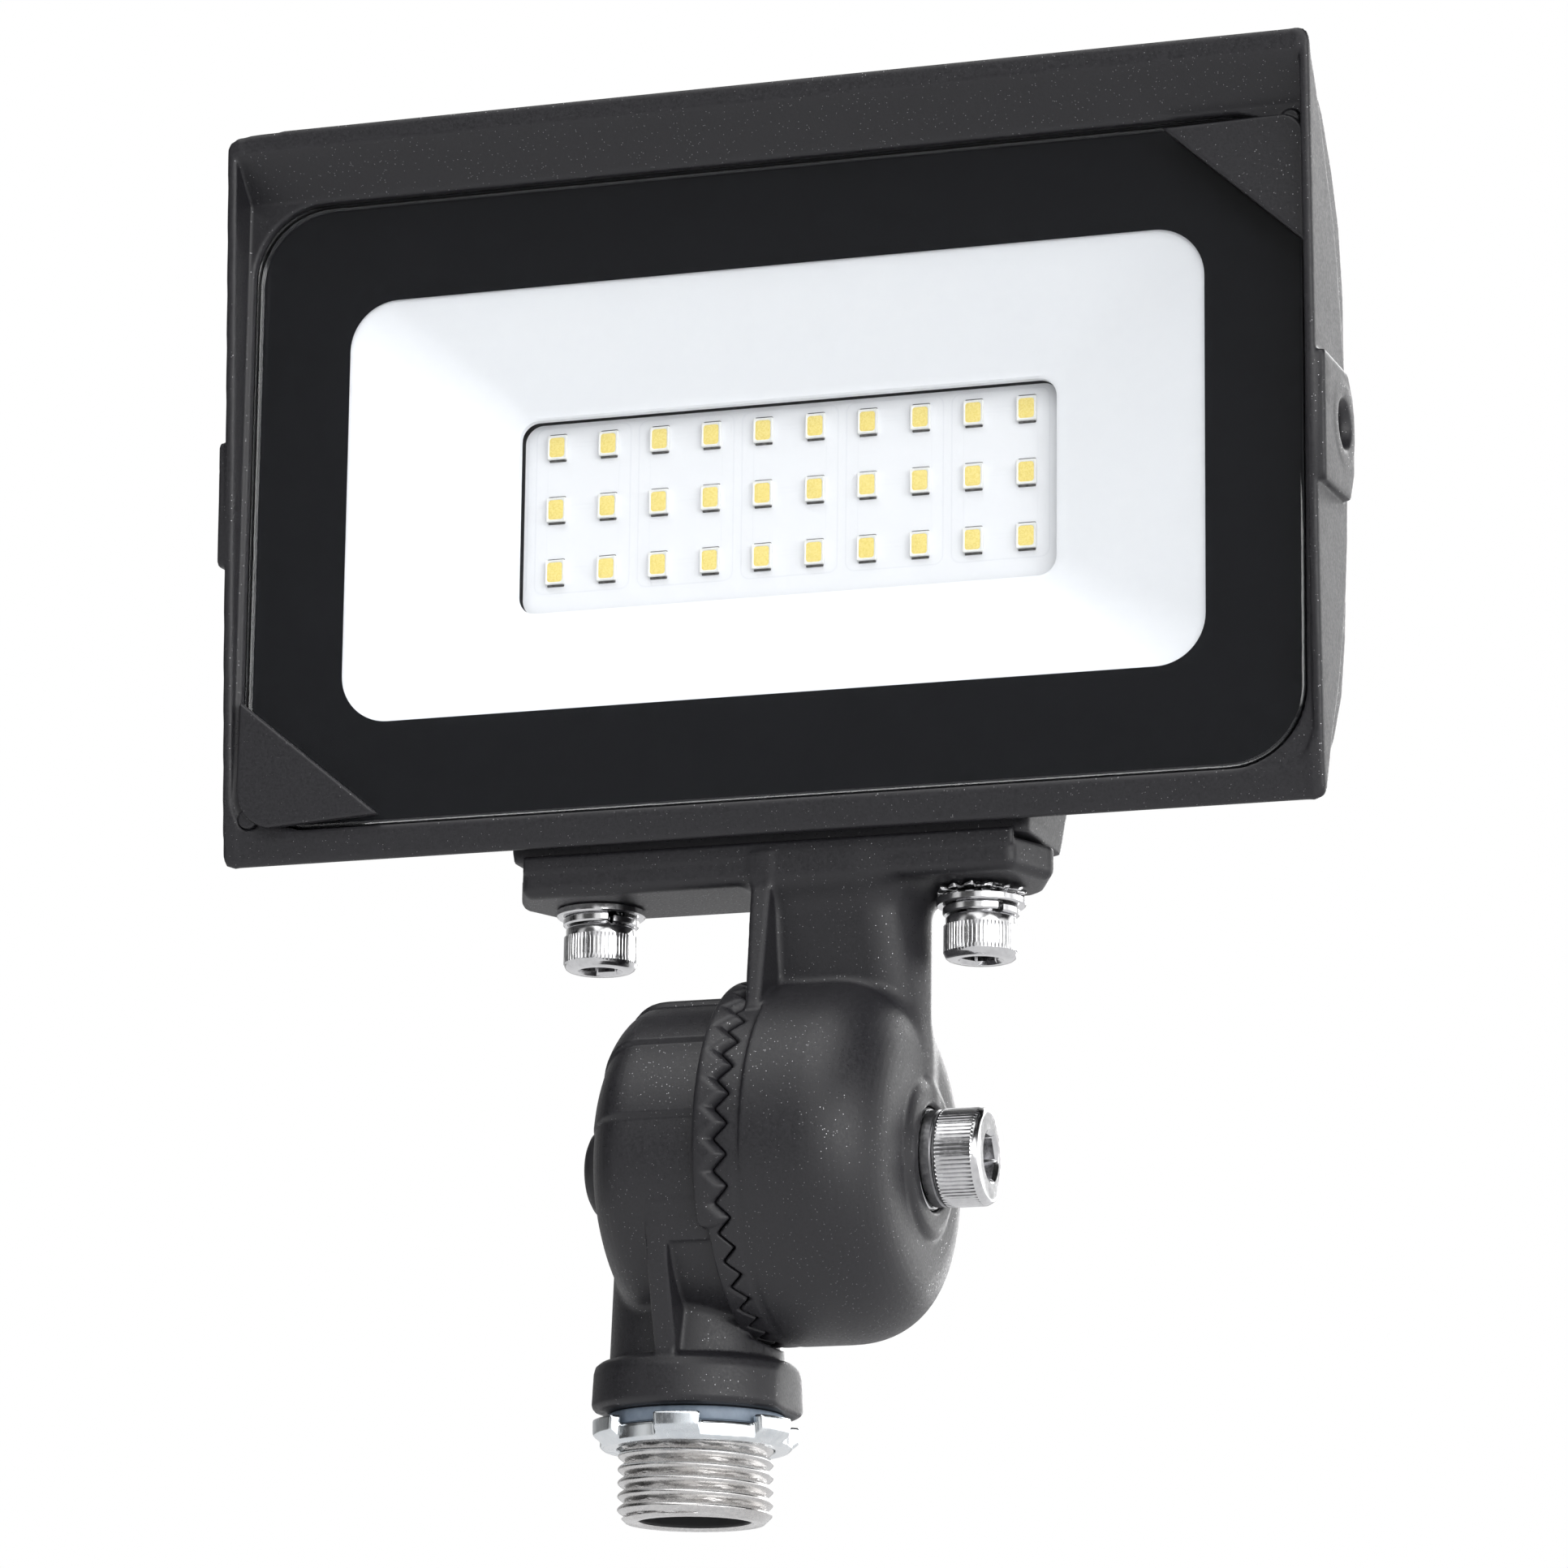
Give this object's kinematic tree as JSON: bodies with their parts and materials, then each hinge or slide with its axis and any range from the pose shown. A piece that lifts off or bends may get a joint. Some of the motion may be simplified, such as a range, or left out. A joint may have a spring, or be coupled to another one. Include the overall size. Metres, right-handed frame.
{
  "type": "flood light",
  "caption": "Compact rectangular LED flood light with a visor edge and printed glass, on a toothed tilting knuckle with a threaded nipple, lock ring and gasket.",
  "frame": {"origin": "centre of the nipple's open end, on its axis", "axes": "+Z along the nipple's axis up to the lamp head; the light shines towards -Y; +X is the side of the clamping bolt's head"},
  "size_m": [0.1594, 0.0507, 0.1963],
  "materials": {
    "painted_casting": "die-cast aluminium under a satin, fine-textured charcoal powder coat",
    "printed_glass": "polished tempered glass with a black printed border",
    "white_silicone": "matt",
    "grey_silicone": "matt",
    "black_rubber": "matt",
    "blue_grey_gasket": "matt",
    "stainless": "plain",
    "polished_stainless": "polished, knurled heads",
    "dark_steel": "dull grey",
    "zinc_plated": "bright zinc, stamped",
    "white_reflector": "satin white",
    "white_board": "white solder mask",
    "led_body": "white moulded package",
    "led_phosphor": "yellow phosphor fill",
    "green_board": "green solder mask",
    "transformer_tape": "yellow tape",
    "capacitor_sleeve": "dark sleeve",
    "terminal_plastic": "moulded",
    "lead_insulation": "plain insulation"
  },
  "bodies": {
    "knuckle_base": {"knuckle_base": "painted_casting", "pivot_nut": "stainless", "cap_plug": "black_rubber"},
    "joint_seal": {"knuckle_seal": "black_rubber"},
    "lamp_head": {"housing": "painted_casting", "glass_lens": "printed_glass", "lens_gasket": "white_silicone", "corner_clips": "painted_casting", "clip_screws": "stainless", "reflector": "white_reflector", "led_board": "white_board", "led_packages": "led_body", "led_phosphors": "led_phosphor", "board_screws": "stainless", "led_leads": "lead_insulation", "driver_board": "green_board", "driver_transformer": "transformer_tape", "driver_capacitors": "capacitor_sleeve", "driver_terminal": "terminal_plastic", "driver_screws": "stainless", "rear_cover": "painted_casting", "rear_gasket": "grey_silicone", "rear_cover_screws": "stainless", "wire_grommet": "grey_silicone", "pad_gasket": "black_rubber", "bracket": "painted_casting", "m6_bolts": "polished_stainless", "m6_spring_washers": "polished_stainless", "m6_flat_washers": "polished_stainless", "star_washer": "polished_stainless"},
    "clamp_bolt": {"pivot_bolt": "polished_stainless", "pivot_washer": "polished_stainless", "pivot_spring_washer": "dark_steel"},
    "conduit_gasket": {"conduit_gasket": "blue_grey_gasket"},
    "locknut": {"locknut": "zinc_plated"}
  },
  "joints": [
    {"name": "tooth_release", "type": "slide", "parent": "knuckle_base", "child": "joint_seal", "axis": [1, 0, 0], "range_m": [0, 0.00249]},
    {"name": "tilt", "type": "hinge", "parent": "joint_seal", "child": "lamp_head", "pos_m": [0, 0, 0.0481], "axis": [1, 0, 0], "range_deg": [-90, 90]},
    {"name": "bolt_turn", "type": "hinge", "parent": "joint_seal", "child": "clamp_bolt", "pos_m": [0.02, 0, 0.0481], "axis": [1, 0, 0], "range_deg": [0, 720]},
    {"name": "ring_travel", "type": "slide", "parent": "knuckle_base", "child": "conduit_gasket", "axis": [0, 0, -1], "range_m": [0, 0.0072]},
    {"name": "ring_turn", "type": "hinge", "parent": "conduit_gasket", "child": "locknut", "pos_m": [0, 0, 0.011], "axis": [0, 0, -1], "range_deg": [0, 1440]}
  ],
  "couplings": [
    {"joint": "bolt_turn", "follows": "tooth_release", "rad_per_m": 5026.5},
    {"joint": "ring_turn", "follows": "ring_travel", "rad_per_m": 3463.2}
  ]
}
